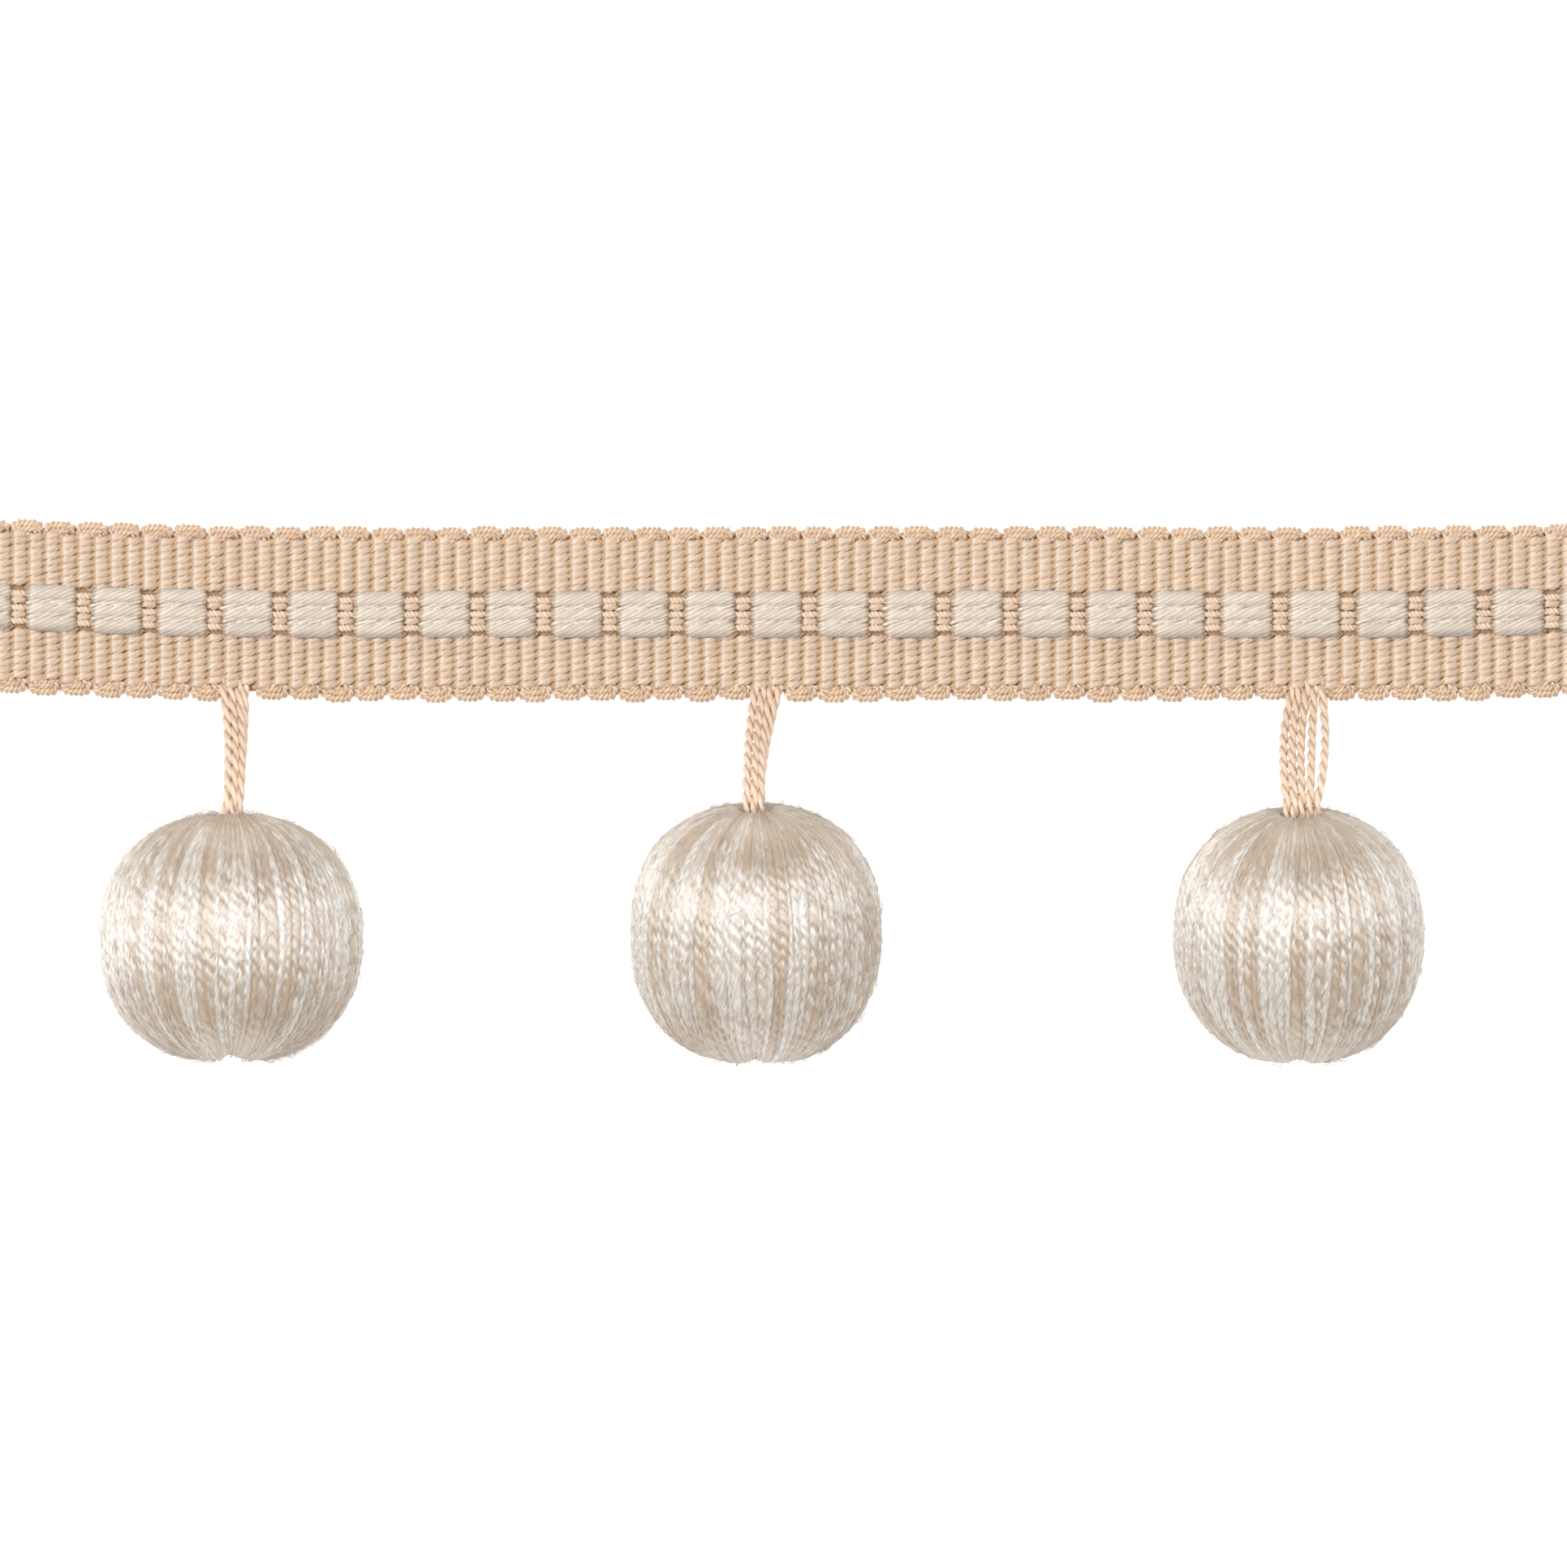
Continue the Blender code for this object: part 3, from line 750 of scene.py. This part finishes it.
def build_ball(number, material):
    surface = BallSurface(number)
    half = surface.count // 2
    yarns, across = [], []
    for yarn in range(surface.count):
        front = yarn < half + 4 or yarn >= surface.count - 4
        columns = FRONT_COLUMNS if front else BACK_COLUMNS
        for column in range(columns):
            yarns.append(yarn)
            across.append(column / columns - 0.5)
    yarns, across = np.array(yarns), np.array(across)
    v = np.linspace(0.25, surface.length - 0.25, BALL_ROWS)
    points = np.empty((len(v), len(yarns), 3))
    fibre, grain = np.empty_like(points), np.empty_like(points)
    crease, tone = np.empty(points.shape[:2]), np.empty(points.shape[:2])
    for row, at in enumerate(v):
        here = np.full(len(yarns), at)
        points[row], theta, grain[row] = surface.place(yarns, across, here)
        relief, ply = surface.relief(yarns, across, here)
        # Painted shade: low relief between yarns and plies darkens the colour.
        crease[row] = np.clip((SHADED_GROOVE_RELIEF - relief) / SHADED_GROOVE_RELIEF, 0.0, 1.0)
        tone[row] = surface.dye(yarns, ply, here)
        lean = theta + 0.34 * at / surface.ball["radius"]
        fibre[row, :, 0] = surface.ball["radius"] * np.cos(lean) + 40.0 * number
        fibre[row, :, 1] = surface.ball["radius"] * np.sin(lean)
        fibre[row, :, 2] = at
    poles = np.array([[0.0, 0.0, surface.height[0]], [0.0, 0.0, surface.height[-1]]])
    flat = np.concatenate([points.reshape(-1, 3), poles])
    tone = np.concatenate([tone.reshape(-1), [0.5, 0.5]])
    crease = np.concatenate([crease.reshape(-1), [0.5, 0.5]])
    fibre = np.concatenate([fibre.reshape(-1, 3), poles])
    grain = np.concatenate([grain.reshape(-1, 3), [[1.0, 0.0, 0.0], [1.0, 0.0, 0.0]]])
    grain = grain @ np.array(ball_frame(surface.ball))[:3, :3].T
    index = np.arange(len(v) * len(yarns)).reshape(len(v), len(yarns))
    beside = np.roll(index, -1, axis=1)
    faces = np.stack([index[:-1], index[1:], beside[1:], beside[:-1]], axis=-1).reshape(-1, 4).tolist()
    top, bottom = len(flat) - 2, len(flat) - 1
    faces += [[top, a, b] for a, b in zip(index[0].tolist(), beside[0].tolist())]
    faces += [[bottom, b, a] for a, b in zip(index[-1].tolist(), beside[-1].tolist())]
    name = f"ball_{number + 1}"
    placed = into_part(surface.ball, flat)
    add_piece(f"{name}_wound", placed, faces, fibre, grain, tone, crease, material, [name])
    return surface


def build_fuzz(number, surface, material, amount):
    """Loose fibre ends that stand a little off the wound yarn."""
    hairs = Yarns(70 + number)
    chance = hairs.chance
    for _ in range(amount):
        yarn = chance.randrange(surface.count)
        start = chance.uniform(1.5, surface.length - 1.0)
        run = chance.uniform(0.6, 2.4) * chance.choice((-1.0, 1.0))
        sway = chance.uniform(-1.2, 1.2)
        curl = chance.uniform(-0.6, 0.6)
        high = chance.uniform(0.1, 0.7)
        line = []
        for part in (0.0, 0.33, 0.66, 1.0):
            s = sway * part + curl * part * (1.0 - part)
            spot = min(surface.length - 0.3, max(0.3, start + run * part))
            whole = int(math.floor(s + 0.5))
            points, _, _ = surface.place((yarn + whole) % surface.count, s - whole, np.array([spot]))
            outward = points[0] / max(1e-6, float(np.linalg.norm(points[0])))
            line.append(points[0] + outward * (high * math.sin(math.pi * (0.1 + 0.75 * part)) - 0.06))
        line = into_part(surface.ball, np.array(line))
        thin = np.array([0.032, 0.030, 0.024, 0.012])
        tone = float(surface.tones[yarn])
        hairs.add_yarn(line, thin, thin, np.zeros(4), tone, lobes=0, sides=3, up=(0.3, 0.2, 0.93))
    name = f"ball_{number + 1}"
    return hairs.build(f"{name}_fuzz", material, "ball_yarn")


# Hangers


def ease(along):
    return along * along * (3.0 - 2.0 * along)


def hanger_line(number, yarn, count):
    """Middle line of one yarn, from inside the heading's edge to the turn in the ball's hollow."""
    heading_x, middle_x, ball_x, middle_lift, ball_lift = yarn
    ball = BALLS[number]
    frame_of_ball = ball_frame(ball)
    start = Vector((heading_x, float(centreline_y(heading_x)) + BOTTOM_EDGE_Y + 0.2, CORD_REST_Z - 0.15))
    turn_height = ball["half_height"] - TOP_HOLLOW_DEPTH + TURN_RISE
    mouth = frame_of_ball @ Vector((ball_x - ball["x"], 0.0, turn_height + HANGER_DIVE))
    dive = frame_of_ball.to_3x3() @ Vector((0.0, 0.0, -HANGER_DIVE))
    bow = middle_x - 0.5 * (heading_x + ball_x)
    line = [(start.x, start.y + 1.4, start.z - 0.1)]
    for along in np.linspace(0.0, 1.0, count):
        px = start.x + (mouth.x - start.x) * along + bow * math.sin(math.pi * along)
        py = start.y + (mouth.y - start.y) * along
        lift = np.interp(along, (0.0, 0.5, 1.0), (0.0, middle_lift, ball_lift))
        pz = start.z + (mouth.z - start.z) * (0.5 * along + 0.5 * ease(along)) + lift
        line.append((px, py, pz))
    for part in (0.35, 0.7, 1.0):
        line.append(tuple(mouth + Vector((0.0, 0.0, ball_lift)) + dive * part))
    return np.array(line)


def build_hanger(number, material):
    """The plied yarns of one hanger, side by side, joined by a turn inside the ball's hollow."""
    cord = Yarns(90 + number)
    ends = []
    for yarn in HANGER_YARNS[number]:
        line = hanger_line(number, yarn, 52)
        along = np.concatenate([[0.0], np.cumsum(np.linalg.norm(np.diff(line, axis=0), axis=1))])
        turns = 2.0 * np.pi * along / HANGER_PLY_LENGTH + cord.chance.uniform(0.0, 6.0)
        cord.add_yarn(
            line,
            HANGER_YARN_RADIUS,
            HANGER_YARN_RADIUS,
            turns,
            cord.chance.uniform(0.1, 0.4),
            sides=12,
            waist=0.45,
            marl=0.1,
            cut=1.05,
        )
        ends.append(line[-1])
    left, right = ends[0], ends[-1]
    down = np.array(ball_frame(BALLS[number]))[:3, :3] @ np.array([0.0, 0.0, -TURN_BOW])
    bend = [
        (left + right) / 2.0 - (right - left) / 2.0 * math.cos(angle) + down * math.sin(angle)
        for angle in np.linspace(0.0, math.pi, 9)
    ]
    turns = np.linspace(0.0, 4.0, len(bend))
    cord.add_yarn(bend, 0.7, 0.5, turns, 0.4, sides=10)
    name = f"hanger_{number + 1}"
    return cord.build(f"{name}_cord", material, "hanger_cord", [name])


# Studio


def add_floor():
    size = 3.0
    mesh = bpy.data.meshes.new("floor")
    corners = [(-size, -size, 0.0), (size, -size, 0.0), (size, size, 0.0), (-size, size, 0.0)]
    mesh.from_pydata(corners, [], [(0, 1, 2, 3)])
    material = bpy.data.materials.new("floor")
    material.use_nodes = True
    shader = material.node_tree.nodes["Principled BSDF"]
    shader.inputs["Base Color"].default_value = (0.92, 0.92, 0.92, 1.0)
    shader.inputs["Roughness"].default_value = 0.9
    shader.inputs["Specular IOR Level"].default_value = 0.1
    shader.inputs["Emission Color"].default_value = (1.0, 1.0, 1.0, 1.0)
    shader.inputs["Emission Strength"].default_value = 0.45
    mesh.materials.append(material)
    floor = bpy.data.objects.new("floor", mesh)
    bpy.context.scene.collection.objects.link(floor)
    floor.location.z = -0.0001


def add_light(name, place, size, power):
    """A rectangular soft box that faces the part."""
    light = bpy.data.lights.new(name, "AREA")
    light.shape = "RECTANGLE"
    light.size, light.size_y = size
    light.energy = power
    obj = bpy.data.objects.new(name, light)
    obj.location = place
    obj.rotation_euler = (-Vector(place)).to_track_quat("-Z", "Y").to_euler()
    bpy.context.scene.collection.objects.link(obj)


def add_world(strength):
    world = bpy.data.worlds.new("studio")
    world.use_nodes = True
    background = world.node_tree.nodes["Background"]
    background.inputs["Color"].default_value = (1.0, 1.0, 1.0, 1.0)
    background.inputs["Strength"].default_value = strength
    bpy.context.scene.world = world


def add_camera():
    """Straight above the trim, far off with a long lens, framed as the photograph is."""
    distance = 4.0
    frame_width = 0.1796
    camera = bpy.data.cameras.new("camera")
    camera.sensor_width = 36.0
    camera.lens = 36.0 * distance / frame_width
    camera.clip_start, camera.clip_end = 0.1, 20.0
    obj = bpy.data.objects.new("camera", camera)
    obj.location = (0.0, 0.00072, distance)
    bpy.context.scene.collection.objects.link(obj)
    bpy.context.scene.camera = obj


# The third colour of each material darkens streaks of fine fibres and is also the painted shade in the
# grooves between plies.
materials = {
    "warp": yarn_material(
        "warp_beige",
        (0.78, 0.535, 0.295),
        (0.60, 0.365, 0.17),
        (0.36, 0.19, 0.08),
        streak=(5.0, 5.0, 0.8),
        ior=2.5,
        streaking=0.65,
        groove_shade_strength=0.7,
    ),
    "inlay": yarn_material(
        "inlay_cream",
        (0.84, 0.70, 0.545),
        (0.62, 0.49, 0.36),
        (0.28, 0.20, 0.13),
        streak=(6.0, 6.0, 0.5),
        streaking=0.6,
    ),
    "loops": yarn_material(
        "loop_beige",
        (0.88, 0.65, 0.425),
        (0.70, 0.47, 0.275),
        (0.34, 0.18, 0.08),
        streak=(5.0, 5.0, 0.9),
        ior=1.8,
        groove_shade_strength=1.0,
        anisotropic=0.3,
    ),
    "cord": yarn_material(
        "cord_beige",
        (0.90, 0.73, 0.575),
        (0.72, 0.50, 0.33),
        (0.42, 0.23, 0.10),
        ior=1.8,
        groove_shade_strength=1.0,
        anisotropic=0.0,
    ),
    # Painted shade: the weft bed is dark brown so that the gaps between threads read as shade.
    "ground": yarn_material("weft_bed_shade", (0.44, 0.27, 0.14), (0.36, 0.21, 0.10), (0.28, 0.15, 0.07), ior=1.3),
    "ball": yarn_material(
        "ball_yarn",
        (0.70, 0.66, 0.60),
        (0.43, 0.305, 0.185),
        (0.30, 0.22, 0.145),
        streak=(4.5, 4.5, 0.7),
        bump=0.9,
        rise=0.09,
        streaking=0.7,
        mottle=0.6,
    ),
}

build_heading(materials)
for number in range(len(BALLS)):
    build_hanger(number, materials["cord"])
    wound = build_ball(number, materials["ball"])
    build_fuzz(number, wound, materials["ball"], FUZZ_FIBRES)

add_floor()
add_world(0.5)
add_light("key", (-1.70, 0.34, 2.27), (0.95, 1.3), 49.5)
add_light("fill", (0.1, 0.42, 2.1), (0.75, 2.2), 17.0)
add_light("right", (1.5, 0.3, 1.5), (0.75, 1.1), 12.5)
bpy.context.scene.view_settings.view_transform = "Standard"
add_camera()
